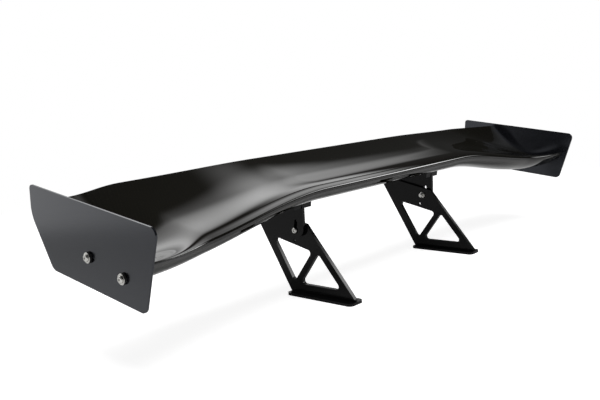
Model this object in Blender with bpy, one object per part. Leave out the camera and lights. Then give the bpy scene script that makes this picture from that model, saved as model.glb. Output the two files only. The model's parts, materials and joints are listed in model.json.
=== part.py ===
"""Adjustable racing rear wing on two pedestals, at its real size in metres.

X runs along the span, Y from the leading edge back to the trailing edge, and Z up from the
underside of the base plates. Y is zero at the middle of the base plates while the pieces are
modelled; the wing_frame empty then centres the finished wing on its own length. The aerofoil, its
endplates and its brackets hang on the angle_pivot empty, which lies on the axis that the angle of
attack turns about.
"""
import math

import bmesh
import bpy
from mathutils import Matrix, Vector

# Aerofoil plan: overall span, and where the twist and the tip begin and end
SPAN = 1.700
MIDDLE_HALF = 0.300
TWIST_HALF = 0.785
TIP_RUN = 0.180

# Aerofoil section in the middle of the span: nose, chord, angle, thickness and camber shares
MID_NOSE_Y = -0.054
MID_NOSE_Z = 0.2645
MID_CHORD = 0.256
MID_ANGLE = math.radians(14.9)
MID_THICKNESS = 0.203
MID_CAMBER = 0.084

# Aerofoil section where the twist is complete
OUTER_NOSE_Y = -0.083
OUTER_NOSE_Z = 0.2145
OUTER_CHORD = 0.306
OUTER_ANGLE = math.radians(20.7)
OUTER_THICKNESS = 0.207
OUTER_CAMBER = 0.1285

# Aerofoil section at the tip
TIP_NOSE_Y = -0.123
TIP_NOSE_Z = 0.2245
TIP_CHORD = 0.271
TIP_ANGLE = math.radians(20.9)
TIP_THICKNESS = 0.140
TIP_CAMBER = 0.235

CAMBER_PEAK = 0.42
TRAILING_EDGE = 0.0030
SKIN = 0.0025
SEAM = 0.0004

# Inside the aerofoil
SPAR = 0.004
FRONT_SPAR_SHARE = 0.25
REAR_SPAR_SHARE = 0.86
RIB = 0.012
RIB_FRONT_SHARE = 0.07
RIB_REAR_SHARE = 0.84
INSERT_RADIUS = 0.005

# Endplates, measured along and square to their own top edge
PLATE = 0.004
PLATE_TILT = math.radians(8.1)
PLATE_AHEAD = 0.039
PLATE_ABOVE = 0.0645
PLATE_TOP = 0.4015
PLATE_REAR = 0.060
PLATE_REAR_SLANT = 0.0035
PLATE_HEIGHT = 0.154
PLATE_FRONT_SLANT = 0.030
PLATE_BOTTOM = 0.293
PLATE_TOP_REAR_RADIUS = 0.009
PLATE_REAR_RADIUS = 0.060
PLATE_BOTTOM_REAR_RADIUS = 0.022
PLATE_FRONT_RADIUS = 0.015
PLATE_BOLT_SHARES = (0.20, 0.585)
PLATE_BOLT_DROP = 0.005

# Pedestals: spacing, base plates and uprights
PEDESTAL = 0.2768
BASE_LENGTH = 0.200
BASE_WIDTH = 0.049
BASE = 0.0065
BASE_CORNER = 0.012
BASE_HOLE_RADIUS = 0.0033
BASE_HOLE_INSET = 0.0085
BASE_HOLE_END = 0.018
UPRIGHT = 0.010
UPRIGHT_FOOT_INSET = 0.0007
UPRIGHT_LOCK_AHEAD = 0.028
UPRIGHT_LOCK_ABOVE = 0.015
UPRIGHT_PIVOT_BEHIND = 0.026
UPRIGHT_PIVOT_ABOVE = 0.017
UPRIGHT_CORNER = 0.003
UPRIGHT_REAR_CORNER = 0.012
FOOT_STRIP = 0.021
FRONT_STRIP = 0.0175
REAR_STRIP = 0.022
TOP_BAND = 0.0595
STRUT = 0.0156
STRUT_TOP_SHIFT = 0.011
STRUT_FOOT_SHIFT = 0.0065
WINDOW_CORNER = 0.008

# Angle of attack: rear pivot, and a bolt in a curved slot ahead of it
PIVOT_Y = 0.196
PIVOT_Z = 0.200
LOCK_RADIUS = 0.1343
LOCK_ANGLE = math.radians(17.0)
LOCK_PITCH = math.radians(12.5)
ANGLE_TRAVEL = math.radians(10.0)

# Brackets: a flange shaped to the underside, deepest in front, and a tongue beside the upright
FLANGE = 0.004
FLANGE_FRONT = 0.025
FLANGE_WIDTH = 0.060
FLANGE_FRONT_SHARE = 0.32
FLANGE_REAR_SHARE = 0.68
TONGUE = 0.008
TONGUE_FRONT_SHARE = 0.325
TONGUE_REAR_SHARE = 0.57
TONGUE_LOBE = 0.019
TONGUE_LOCK_AHEAD = 0.0265
TONGUE_LOCK_BELOW = 0.0195
TONGUE_NECK_AHEAD = 0.034
TONGUE_NECK_ABOVE = 0.006
TONGUE_NECK = 0.012
TONGUE_PIVOT_ROUND = 0.014
TONGUE_PIVOT_BEHIND = 0.018
TONGUE_PIVOT_ABOVE = 0.015
TONGUE_PIVOT_BELOW = 0.018
NUT_PLATE = 0.005
BRACKET_SCREW_OUT = 0.021
BRACKET_SCREW_SHARES = (0.40, 0.60)

# Fasteners: shank radii, heads, washers and nuts
PIVOT_SHANK = 0.004
PIVOT_HEAD = 0.0072
PIVOT_HEAD_HEIGHT = 0.0044
PIVOT_WASHER = 0.0085
PIVOT_WASHER_HEIGHT = 0.0016
PIVOT_NUT_FLATS = 0.013
PIVOT_NUT_HEIGHT = 0.008
PIVOT_TAIL = 0.002
PLATE_SHANK = 0.003
PLATE_HEAD = 0.0070
PLATE_HEAD_HEIGHT = 0.0034
PLATE_WASHER = 0.0100
PLATE_WASHER_HEIGHT = 0.0012
PLATE_SEAL = 0.0106
PLATE_SEAL_HEIGHT = 0.0040
BRACKET_SHANK = 0.0025
BRACKET_HEAD = 0.0047
BRACKET_HEAD_HEIGHT = 0.0028
FOOT_SHANK = 0.003
FOOT_HEAD = 0.0056
FOOT_SCREW_LENGTH = 0.020
FOOT_SCREW_END = 0.022

# Gaps between pieces that touch, and between a shank and its hole
SEAT = 0.0003
HOLE_GAP = 0.0005
CUT_PAST = 0.004

# Fineness of the curved shapes
CHORD_POINTS = 14
TIP_STEPS = 5
TWIST_STEPS = 6
ROUND_SIDES = 12
CORNER_STEPS = 5
SLOT_STEPS = 6

SIDES = {"right": -1, "left": 1}
AEROFOIL_HALF = SPAN / 2 - PLATE - SEAT
TONGUE_FACE = PEDESTAL + UPRIGHT / 2 + SEAT
BRACKET = TONGUE_FACE + TONGUE / 2
PIVOT = Vector((0.0, PIVOT_Y, PIVOT_Z))


def finish(name, hex_color, metallic, roughness):
    """A plain Principled material; hex_color is the colour as seen on a screen."""
    material = bpy.data.materials.new(name)
    material.use_nodes = True
    shader = material.node_tree.nodes["Principled BSDF"]
    channels = [int(hex_color[i:i + 2], 16) / 255 for i in (1, 3, 5)]
    linear = [((c + 0.055) / 1.055) ** 2.4 if c > 0.04045 else c / 12.92 for c in channels]
    shader.inputs["Base Color"].default_value = (*linear, 1.0)
    shader.inputs["Metallic"].default_value = metallic
    shader.inputs["Roughness"].default_value = roughness
    material.diffuse_color = (*linear, 1.0)
    return material


# Aerofoil shape

def ease(value):
    """Smooth step from 0 to 1."""
    value = min(max(value, 0.0), 1.0)
    return value * value * (3.0 - 2.0 * value)


def section_at(x):
    """Nose Y and Z, chord, angle, thickness share and camber share at a span position."""
    twist = ease((abs(x) - MIDDLE_HALF) / (TWIST_HALF - MIDDLE_HALF))
    tip = ease((abs(x) - AEROFOIL_HALF + TIP_RUN) / TIP_RUN)
    middle = (MID_NOSE_Y, MID_NOSE_Z, MID_CHORD, MID_ANGLE, MID_THICKNESS, MID_CAMBER)
    outer = (OUTER_NOSE_Y, OUTER_NOSE_Z, OUTER_CHORD, OUTER_ANGLE, OUTER_THICKNESS, OUTER_CAMBER)
    end = (TIP_NOSE_Y, TIP_NOSE_Z, TIP_CHORD, TIP_ANGLE, TIP_THICKNESS, TIP_CAMBER)
    return [(m + (o - m) * twist) * (1.0 - tip) + e * tip for m, o, e in zip(middle, outer, end)]


def camber_line(share, camber):
    """Height of the camber line, in chords; the section is upside down, so it hangs low."""
    if share < CAMBER_PEAK:
        return -camber / CAMBER_PEAK ** 2 * (2 * CAMBER_PEAK * share - share ** 2)
    rear = 1.0 - CAMBER_PEAK
    return -camber / rear ** 2 * (1.0 - 2 * CAMBER_PEAK + 2 * CAMBER_PEAK * share - share ** 2)


def half_thickness(share, thickness, chord):
    """Half of the section's thickness in metres, with a blunt trailing edge."""
    root = math.sqrt(share)
    series = 0.2969 * root - 0.1260 * share - 0.3516 * share ** 2
    series += 0.2843 * share ** 3 - 0.1036 * share ** 4
    return 5 * thickness * chord * series + share * TRAILING_EDGE / 2


def to_world(x, along, height):
    """World point from a distance along the chord and a height above it."""
    nose_y, nose_z, angle = *section_at(x)[:2], section_at(x)[3]
    y = nose_y + along * math.cos(angle) - height * math.sin(angle)
    z = nose_z + along * math.sin(angle) + height * math.cos(angle)
    return Vector((x, y, z))


def surface_point(x, share, side, depth):
    """Point on the upper (side 1) or lower (side -1) surface, at a depth under it.

    Depths stop short of the camber line by half of the seam, so the two skins never meet.
    """
    chord, thickness, camber = section_at(x)[2], *section_at(x)[4:]

    def outside(at):
        at = min(max(at, 0.0), 1.0)
        return camber_line(at, camber) * chord + side * half_thickness(at, thickness, chord)

    step = 0.002
    low, high = max(share - step, 0.0), min(share + step, 1.0)
    slope = Vector(((high - low) * chord, outside(high) - outside(low))).normalized()
    along, height = share * chord, outside(share)
    if share == 0.0:
        slope = Vector((0.0, side))
    along += depth * slope.y * side
    height -= depth * slope.x * side
    middle = camber_line(min(along / chord, 1.0), camber) * chord
    if (height - middle) * side < SEAM / 2:
        if depth > 0 and share > 0.0:
            along = share * chord
            middle = camber_line(share, camber) * chord
        height = middle + side * SEAM / 2
    return to_world(x, along, height)


def surface_normal(x, share, side):
    """Unit vector out of the surface, square to the span."""
    step = 0.01
    run = surface_point(x, share + step, side, 0.0) - surface_point(x, share - step, side, 0.0)
    return Vector((0.0, -run.z * side, run.y * side)).normalized()


def chord_shares():
    """Chord shares of the skins' points, closer together towards the nose."""
    return [(i / CHORD_POINTS) ** 2 for i in range(CHORD_POINTS + 1)]


def shares_between(first, last):
    """First and last share, with the skins' own shares between them."""
    return [first] + [share for share in chord_shares() if first < share < last] + [last]


def facet_point(x, share, side, depth):
    """Like surface_point, but on the flat facet that the skins have there."""
    shares = chord_shares()
    high = next(i for i, edge in enumerate(shares) if edge >= share and i > 0)
    low = high - 1
    part = (share - shares[low]) / (shares[high] - shares[low])
    start = surface_point(x, shares[low], side, depth)
    return start.lerp(surface_point(x, shares[high], side, depth), part)


def stations(limit):
    """Span positions of the aerofoil's sections, from -limit to limit."""
    twist_end = AEROFOIL_HALF - TIP_RUN
    rib_face = AEROFOIL_HALF - RIB
    half = [MIDDLE_HALF + (twist_end - MIDDLE_HALF) * i / TWIST_STEPS for i in range(TWIST_STEPS)]
    half += [twist_end + (rib_face - twist_end) * i / TIP_STEPS for i in range(TIP_STEPS + 1)]
    half = sorted(half + [BRACKET + FLANGE_WIDTH / 2])
    half = [x for x in half if x < limit - SEAT / 2] + [limit]
    return [-x for x in reversed(half)] + [0.0] + half


# Making objects

def add_object(name, mesh_builder, material, parent, origin=Vector()):
    """Closed mesh object whose points are given in the modelling frame."""
    bmesh.ops.remove_doubles(mesh_builder, verts=mesh_builder.verts, dist=1e-7)
    bmesh.ops.recalc_face_normals(mesh_builder, faces=mesh_builder.faces)
    mesh = bpy.data.meshes.new(name)
    mesh_builder.to_mesh(mesh)
    mesh_builder.free()
    mesh.shade_smooth()
    mesh.set_sharp_from_angle(angle=math.radians(35))
    mesh.materials.append(material)
    item = bpy.data.objects.new(name, mesh)
    bpy.context.scene.collection.objects.link(item)
    item.parent = parent
    if parent is angle_pivot:
        item.matrix_parent_inverse = Matrix.Translation(-PIVOT)
    item.location = origin
    return item


def point_along(item, axis):
    """Turn an object so that its own +Z lies along an axis."""
    item.rotation_euler = Vector((0.0, 0.0, 1.0)).rotation_difference(axis).to_euler()


def loft(name, loops, material, parent):
    """Closed body through loops of points, with a cap at each end; both halves split alike."""
    body = bmesh.new()
    rings = [[body.verts.new(point) for point in loop] for loop in loops]
    for near, far in zip(rings, rings[1:]):
        for i in range(len(near)):
            j = (i + 1) % len(near)
            body.faces.new((near[i], near[j], far[j], far[i]))
    body.faces.new(rings[0])
    body.faces.new(rings[-1])
    bmesh.ops.triangulate(body, faces=body.faces[:], quad_method="SHORT_EDGE")
    return add_object(name, body, material, parent)


def plate(name, loops, to_point, depth, material, parent, origin=Vector()):
    """Flat plate from an outline and its holes, made thick by the vector depth."""
    body = bmesh.new()
    for loop in loops:
        ring = [body.verts.new(to_point(*point)) for point in loop]
        for i in range(len(ring)):
            body.edges.new((ring[i - 1], ring[i]))
    bmesh.ops.triangle_fill(body, use_beauty=True, edges=body.edges, normal=depth)
    raised = bmesh.ops.extrude_face_region(body, geom=body.faces[:], use_keep_orig=True)
    verts = [item for item in raised["geom"] if isinstance(item, bmesh.types.BMVert)]
    bmesh.ops.translate(body, verts=verts, vec=depth)
    return add_object(name, body, material, parent, origin)


def turned(name, profile, material, parent, origin, axis, closed=False):
    """Body turned about its own Z from (radius, height) points, then laid along an axis."""
    body = bmesh.new()
    points = [body.verts.new((radius, 0.0, height)) for radius, height in profile]
    pairs = list(zip(points, points[1:]))
    if closed:
        pairs.append((points[-1], points[0]))
    edges = [body.edges.new(pair) for pair in pairs]
    bmesh.ops.spin(body, geom=points + edges, axis=(0, 0, 1), cent=(0, 0, 0), steps=ROUND_SIDES,
                   angle=math.tau, use_merge=True)
    item = add_object(name, body, material, parent, origin)
    point_along(item, axis)
    return item


def ring(name, inner, outer, height, material, parent, origin, axis):
    """Washer, spacer or insert: a turned ring standing on its origin."""
    profile = [(inner, 0.0), (outer, 0.0), (outer, height), (inner, height)]
    return turned(name, profile, material, parent, origin, axis, closed=True)


def button_screw(name, shank, length, head, head_height, parent, origin, axis):
    """Screw with a low domed head; its origin is under the head and its shank runs along axis."""
    dome = [(head * math.cos(a), -head_height * (0.35 + 0.65 * math.sin(a)))
            for a in (math.radians(d) for d in (0, 30, 60))]
    profile = [(0.0, length), (shank, length), (shank, 0.0), (head, 0.0)]
    profile += dome + [(0.0, -head_height)]
    return turned(name, profile, steel, parent, origin, axis)


def cut(target, tools, operation="DIFFERENCE"):
    """Boolean of hidden tools on a target."""
    for tool in tools:
        tool.hide_render = True
        tool.display_type = "WIRE"
        change = target.modifiers.new(tool.name, "BOOLEAN")
        change.operation = operation
        change.object = tool


def hole(target, radius, start, axis, length):
    """Round hole through a target, from start along axis."""
    tool = turned("cut." + target.name, [(0.0, 0.0), (radius, 0.0), (radius, length), (0.0, length)],
                  steel, target.parent, start, axis)
    cut(target, [tool])


# Outlines

def rounded(corners):
    """Outline with each (a, b, radius) corner replaced by an arc."""
    outline = []
    for i, (a, b, radius) in enumerate(corners):
        corner = Vector((a, b))
        if radius == 0.0:
            outline.append(corner)
            continue
        back = (Vector(corners[i - 1][:2]) - corner).normalized()
        ahead = (Vector(corners[(i + 1) % len(corners)][:2]) - corner).normalized()
        half = back.angle(ahead) / 2
        middle = corner + (back + ahead).normalized() * radius / math.sin(half)
        start = corner + back * radius / math.tan(half) - middle
        sweep = start.angle_signed(corner + ahead * radius / math.tan(half) - middle)
        for step in range(CORNER_STEPS + 1):
            outline.append(middle + Matrix.Rotation(-sweep * step / CORNER_STEPS, 2) @ start)
    return outline


def circle(a, b, radius):
    """Outline of a round hole."""
    angles = [math.tau * i / ROUND_SIDES for i in range(ROUND_SIDES)]
    return [Vector((a + radius * math.cos(t), b + radius * math.sin(t))) for t in angles]


def offset_line(start, end, distance):
    """Line through two points, moved to its left by a distance."""
    along = (end - start).normalized()
    shift = Vector((-along.y, along.x)) * distance
    return start + shift, end + shift


def meet(line, other):
    """Point where two lines cross."""
    (p, q), (r, s) = line, other
    along, across = q - p, s - r
    return p + along * (r - p).cross(across) / along.cross(across)


def lock_point(angle, radius=LOCK_RADIUS):
    """Point on the arc of lock holes, at an angle below the pivot's level."""
    return Vector((PIVOT_Y - radius * math.cos(angle), PIVOT_Z - radius * math.sin(angle)))


def in_yz(x):
    """Puts an outline's two numbers at Y and Z, on the plane at x."""
    return lambda y, z: (x, y, z)


LOCK = lock_point(LOCK_ANGLE)


# The pieces

def make_skins():
    """Upper and lower mouldings, which meet at the nose and the trailing edge."""
    shares = chord_shares()
    skins = {}
    for name, side in (("upper_skin", 1), ("lower_skin", -1)):
        loops = []
        for x in stations(AEROFOIL_HALF):
            outside = [surface_point(x, share, side, 0.0) for share in shares]
            inside = [surface_point(x, share, side, SKIN) for share in reversed(shares)]
            loops.append(outside + inside)
        skins[name] = loft(name, loops, gloss_black, angle_pivot)
    return skins


def make_spars():
    """Two shear webs between the skins, from rib to rib, each under a row of the skins' points."""
    depth = SKIN + SEAT
    for name, wanted in (("front_spar", FRONT_SPAR_SHARE), ("rear_spar", REAR_SPAR_SHARE)):
        share = min(chord_shares(), key=lambda row: abs(row - wanted))
        loops = []
        for x in stations(AEROFOIL_HALF - RIB - SEAT):
            half = SPAR / 2 / section_at(x)[2]
            web = [facet_point(x, share + half * end, side, depth)
                   for side, end in ((1, -1), (1, 1), (-1, 1), (-1, -1))]
            loops.append(web)
        loft(name, loops, raw_composite, angle_pivot)


def plate_bolt_point(share):
    """Place of an endplate bolt, a little below the middle of the tip section."""
    upper = surface_point(AEROFOIL_HALF, share, 1, 0.0)
    lower = surface_point(AEROFOIL_HALF, share, -1, 0.0)
    return (upper + lower) / 2 - Vector((0.0, 0.0, PLATE_BOLT_DROP))


def make_end_ribs():
    """Ribs that close the tips, each with threaded inserts for the endplate's bolts."""
    shares = shares_between(RIB_FRONT_SHARE, RIB_REAR_SHARE)
    depth = SKIN + SEAT
    for hand, sign in SIDES.items():
        outward = Vector((sign, 0.0, 0.0))
        loops = []
        for x in (sign * (AEROFOIL_HALF - RIB), sign * AEROFOIL_HALF):
            upper = [facet_point(x, share, 1, depth) for share in shares]
            lower = [facet_point(x, share, -1, depth) for share in reversed(shares)]
            loops.append(upper + lower)
        rib = loft("end_rib_" + hand, loops, raw_composite, angle_pivot)
        for place, share in zip(("front", "rear"), PLATE_BOLT_SHARES):
            seat = plate_bolt_point(share)
            seat.x = sign * (AEROFOIL_HALF - RIB)
            hole(rib, INSERT_RADIUS + HOLE_GAP, seat - outward * CUT_PAST, outward,
                 RIB + 2 * CUT_PAST)
            ring(f"rib_insert_{hand}_{place}", PLATE_SHANK + HOLE_GAP, INSERT_RADIUS, RIB, steel,
                 angle_pivot, seat, outward)


def endplate_outline():
    """Endplate outline in Y and Z, from its front top corner round to its lower front one."""
    corners = [
        (0.0, 0.0, PLATE_FRONT_RADIUS),
        (PLATE_TOP, 0.0, PLATE_TOP_REAR_RADIUS),
        (PLATE_TOP - PLATE_REAR_SLANT, -PLATE_REAR, PLATE_REAR_RADIUS),
        (PLATE_FRONT_SLANT + PLATE_BOTTOM, -PLATE_HEIGHT, PLATE_BOTTOM_REAR_RADIUS),
        (PLATE_FRONT_SLANT, -PLATE_HEIGHT, PLATE_FRONT_RADIUS),
    ]
    turn = Matrix.Rotation(PLATE_TILT, 2)
    start = Vector((TIP_NOSE_Y - PLATE_AHEAD, TIP_NOSE_Z + PLATE_ABOVE))
    return [start + turn @ point for point in rounded(corners)]


def make_endplates():
    """Endplates, each held to its rib by two bolts over a steel and a soft washer."""
    outline = endplate_outline()
    bolts = [plate_bolt_point(share).yz for share in PLATE_BOLT_SHARES]
    holes = [circle(*point, PLATE_SHANK + HOLE_GAP) for point in bolts]
    outside = SPAN / 2
    for hand, sign in SIDES.items():
        inward = Vector((-sign, 0.0, 0.0))
        plate("endplate_" + hand, [outline] + holes, in_yz(sign * outside), inward * PLATE,
              anodised_grey, angle_pivot)
        for place, point in zip(("front", "rear"), bolts):
            tag = f"{hand}_{place}"
            seal_face = outside + SEAT + PLATE_SEAL_HEIGHT
            washer_face = seal_face + SEAT + PLATE_WASHER_HEIGHT
            under_head = washer_face + SEAT
            length = under_head - AEROFOIL_HALF + RIB - HOLE_GAP
            ring("endplate_seal_" + tag, PLATE_SHANK + HOLE_GAP, PLATE_SEAL, PLATE_SEAL_HEIGHT,
                 rubber, angle_pivot, Vector((sign * seal_face, *point)), inward)
            ring("endplate_washer_" + tag, PLATE_SHANK + HOLE_GAP, PLATE_WASHER,
                 PLATE_WASHER_HEIGHT, steel, angle_pivot, Vector((sign * washer_face, *point)), inward)
            button_screw("endplate_bolt_" + tag, PLATE_SHANK, length, PLATE_HEAD, PLATE_HEAD_HEIGHT,
                         angle_pivot, Vector((sign * under_head, *point)), inward)


def pad(name, middle, shares, front, rear, far, material):
    """Pad shaped to the underside, from a depth that runs from front to rear up to a depth far."""
    half = FLANGE_WIDTH / 2
    depths = [front + (rear - front) * (share - shares[0]) / (shares[-1] - shares[0])
              for share in shares]
    loops = []
    for x in (middle - half, middle - half / 3, middle + half / 3, middle + half):
        outer = [facet_point(x, share, -1, depth) for share, depth in zip(shares, depths)]
        inner = [facet_point(x, share, -1, far) for share in reversed(shares)]
        loops.append(outer + inner)
    return loft(name, loops, material, angle_pivot)


def tongue_outline(middle):
    """Tongue outline in Y and Z; its top edge runs inside the flange."""
    shares = shares_between(TONGUE_FRONT_SHARE, TONGUE_REAR_SHARE)
    top = [facet_point(middle, share, -1, -SEAT - FLANGE / 2).yz for share in shares]
    corners = [
        (*top[-1], 0.0),
        (PIVOT_Y - TONGUE_NECK_AHEAD, PIVOT_Z + TONGUE_NECK_ABOVE, TONGUE_NECK),
        (PIVOT_Y + TONGUE_PIVOT_BEHIND, PIVOT_Z + TONGUE_PIVOT_ABOVE, TONGUE_PIVOT_ROUND),
        (PIVOT_Y + TONGUE_PIVOT_BEHIND, PIVOT_Z - TONGUE_PIVOT_BELOW, TONGUE_PIVOT_ROUND),
        (LOCK.x - TONGUE_LOCK_AHEAD, LOCK.y - TONGUE_LOCK_BELOW, TONGUE_LOBE),
        (*top[0], 0.0),
    ]
    return rounded(corners) + top[1:-1]


def slot_end(turn, start):
    """Half circle round one end of the slot, clockwise from a start direction."""
    turns = [Matrix.Rotation(-math.pi * i / CORNER_STEPS, 2) for i in range(1, CORNER_STEPS)]
    return [lock_point(turn) + quarter @ start for quarter in turns]


def slot_outline():
    """Curved slot about the pivot, from the lock bolt up to the end of the travel."""
    reach = PIVOT_SHANK + HOLE_GAP
    high = LOCK_ANGLE - ANGLE_TRAVEL
    turns = [LOCK_ANGLE - ANGLE_TRAVEL * i / SLOT_STEPS for i in range(SLOT_STEPS + 1)]
    outer = [lock_point(turn, LOCK_RADIUS + reach) for turn in turns]
    inner = [lock_point(turn, LOCK_RADIUS - reach) for turn in reversed(turns)]
    top = slot_end(high, outer[-1] - lock_point(high))
    bottom = slot_end(LOCK_ANGLE, inner[-1] - LOCK)
    return outer + top + inner + bottom


def make_brackets(lower_skin):
    """Brackets under the aerofoil, screwed through the lower skin to nut plates inside it."""
    flange_shares = shares_between(FLANGE_FRONT_SHARE, FLANGE_REAR_SHARE)
    wide, narrow = BRACKET_HEAD + HOLE_GAP, BRACKET_SHANK + HOLE_GAP
    for hand, sign in SIDES.items():
        middle = sign * BRACKET
        loops = [tongue_outline(middle), slot_outline(),
                 circle(PIVOT_Y, PIVOT_Z, PIVOT_SHANK + HOLE_GAP)]
        bracket = plate("bracket_" + hand, loops, in_yz(sign * TONGUE_FACE),
                        Vector((sign * TONGUE, 0.0, 0.0)), anodised_black, angle_pivot)
        flange = pad("join.bracket_" + hand, middle, flange_shares, -SEAT - FLANGE_FRONT,
                     -SEAT - FLANGE, -SEAT, anodised_black)
        cut(bracket, [flange], "UNION")
        nut_plate = pad("nut_plate_" + hand, middle, flange_shares, SKIN + SEAT, SKIN + SEAT,
                        SKIN + SEAT + NUT_PLATE, bare_aluminium)
        number = 0
        for out in (-1, 1):
            for share in BRACKET_SCREW_SHARES:
                number += 1
                x = middle + out * BRACKET_SCREW_OUT
                normal = surface_normal(x, share, -1)
                seat = facet_point(x, share, -1, 0.0)
                under_head = seat + normal * (FLANGE + 3 * SEAT)
                length = FLANGE + SKIN + NUT_PLATE + 3 * SEAT
                for target in (lower_skin, nut_plate):
                    hole(target, narrow, under_head, -normal, length + CUT_PAST)
                step = FLANGE_FRONT + SEAT
                sunk = [(0.0, 0.0), (wide, 0.0), (wide, step), (narrow, step),
                        (narrow, step + length), (0.0, step + length)]
                tool = turned("cut." + flange.name, sunk, steel, angle_pivot,
                              under_head + normal * FLANGE_FRONT, -normal)
                cut(flange, [tool])
                button_screw(f"bracket_screw_{hand}_{number}", BRACKET_SHANK, length, BRACKET_HEAD,
                             BRACKET_HEAD_HEIGHT, angle_pivot, under_head, -normal)


def upright_outlines():
    """Upright outline, its two windows and its holes, in Y and Z."""
    foot = BASE + SEAT
    half_foot = BASE_LENGTH / 2 - UPRIGHT_FOOT_INSET
    front_foot = Vector((-half_foot, foot))
    rear_foot = Vector((half_foot, foot))
    front_top = LOCK + Vector((-UPRIGHT_LOCK_AHEAD, UPRIGHT_LOCK_ABOVE))
    rear_top = Vector((PIVOT_Y + UPRIGHT_PIVOT_BEHIND, PIVOT_Z + UPRIGHT_PIVOT_ABOVE))
    outline = rounded([(*front_foot, UPRIGHT_CORNER), (*front_top, UPRIGHT_CORNER),
                       (*rear_top, UPRIGHT_REAR_CORNER), (*rear_foot, UPRIGHT_CORNER)])
    front = offset_line(front_top, front_foot, FRONT_STRIP)
    top = offset_line(rear_top, front_top, TOP_BAND)
    rear = offset_line(rear_foot, rear_top, REAR_STRIP)
    bottom = offset_line(front_foot, rear_foot, FOOT_STRIP)
    strut_top = meet(front, top) + (top[0] - top[1]).normalized() * STRUT_TOP_SHIFT
    strut_foot = meet(rear, bottom) - Vector((STRUT_FOOT_SHIFT, 0.0))
    strut_rear = offset_line(strut_foot, strut_top, -STRUT / 2)
    strut_front = offset_line(strut_foot, strut_top, STRUT / 2)
    windows = [
        (meet(top, strut_rear), meet(top, rear), meet(rear, strut_rear)),
        (meet(front, strut_front), meet(strut_front, bottom), meet(front, bottom)),
    ]
    loops = [outline] + [rounded([(*corner, WINDOW_CORNER) for corner in window]) for window in windows]
    for point in (Vector((PIVOT_Y, PIVOT_Z)), LOCK, lock_point(LOCK_ANGLE + LOCK_PITCH)):
        loops.append(circle(*point, PIVOT_SHANK + HOLE_GAP))
    return loops


def make_pedestals():
    """Base plates and uprights, joined by countersunk screws from below."""
    half_width, half_length = BASE_WIDTH / 2, BASE_LENGTH / 2
    base_outline = rounded([(x * half_width, y * half_length, BASE_CORNER)
                            for x, y in ((-1, -1), (-1, 1), (1, 1), (1, -1))])
    hole_out, hole_along = half_width - BASE_HOLE_INSET, half_length - BASE_HOLE_END
    base_holes = [circle(x * hole_out, y * hole_along, BASE_HOLE_RADIUS)
                  for x in (-1, 1) for y in (-1, 1)]
    cone = FOOT_HEAD - FOOT_SHANK
    up = Vector((0.0, 0.0, 1.0))
    for hand, sign in SIDES.items():
        middle = sign * PEDESTAL
        base = plate("base_plate_" + hand, [base_outline] + base_holes,
                     lambda x, y: (middle + x, y, 0.0), up * BASE, anodised_black, wing_frame)
        upright = plate("upright_" + hand, upright_outlines(), in_yz(middle - UPRIGHT / 2),
                        Vector((UPRIGHT, 0.0, 0.0)), anodised_black, wing_frame)
        for place, step in (("front", -1), ("middle", 0), ("rear", 1)):
            seat = Vector((middle, step * (half_length - FOOT_SCREW_END), SEAT))
            profile = [(0.0, 0.0), (FOOT_HEAD, 0.0), (FOOT_SHANK, cone),
                       (FOOT_SHANK, FOOT_SCREW_LENGTH), (0.0, FOOT_SCREW_LENGTH)]
            turned(f"foot_screw_{hand}_{place}", profile, steel, wing_frame, seat, up)
            wide, narrow = FOOT_HEAD + HOLE_GAP, FOOT_SHANK + HOLE_GAP
            sink = [(0.0, -CUT_PAST), (wide, -CUT_PAST), (wide, 0.0), (narrow, cone),
                    (narrow, FOOT_SCREW_LENGTH + HOLE_GAP), (0.0, FOOT_SCREW_LENGTH + HOLE_GAP)]
            tool = turned(f"cut.foot_{hand}_{place}", sink, steel, wing_frame, seat, up)
            cut(base, [tool])
            cut(upright, [tool])


def make_pivot_hardware():
    """Pivot and lock bolts: head outside the tongue, washer and nut on the upright's inner face."""
    for hand, sign in SIDES.items():
        inward = Vector((-sign, 0.0, 0.0))
        under_head = TONGUE_FACE + TONGUE + SEAT
        washer_seat = PEDESTAL - UPRIGHT / 2 - SEAT
        nut_seat = washer_seat - PIVOT_WASHER_HEIGHT - SEAT
        length = under_head - nut_seat + PIVOT_NUT_HEIGHT + PIVOT_TAIL
        corner = PIVOT_NUT_FLATS / math.sqrt(3)
        for job, point in (("pivot", Vector((PIVOT_Y, PIVOT_Z))), ("lock", LOCK)):
            button_screw(f"{job}_bolt_{hand}", PIVOT_SHANK, length, PIVOT_HEAD, PIVOT_HEAD_HEIGHT,
                         wing_frame, Vector((sign * under_head, *point)), inward)
            ring(f"{job}_washer_{hand}", PIVOT_SHANK + HOLE_GAP, PIVOT_WASHER, PIVOT_WASHER_HEIGHT,
                 steel, wing_frame, Vector((sign * washer_seat, *point)), inward)
            hexagon = [point + Vector((corner * math.cos(t), corner * math.sin(t)))
                       for t in (math.radians(60 * i) for i in range(6))]
            plate(f"{job}_nut_{hand}", [hexagon, circle(*point, PIVOT_SHANK + HOLE_GAP)],
                  in_yz(sign * nut_seat), inward * PIVOT_NUT_HEIGHT, steel, wing_frame)


for old in list(bpy.data.objects):
    bpy.data.objects.remove(old, do_unlink=True)

gloss_black = finish("gloss_black_composite", "#14130f", 0.0, 0.06)
raw_composite = finish("raw_composite", "#2b2b2a", 0.0, 0.6)
anodised_grey = finish("anodised_endplate", "#4c4e53", 0.6, 0.45)
anodised_black = finish("anodised_black", "#1b1c1f", 0.5, 0.4)
bare_aluminium = finish("bare_aluminium", "#b4b6b8", 1.0, 0.4)
steel = finish("stainless_steel", "#c9c8c4", 1.0, 0.25)
rubber = finish("black_rubber", "#151515", 0.0, 0.7)

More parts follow.
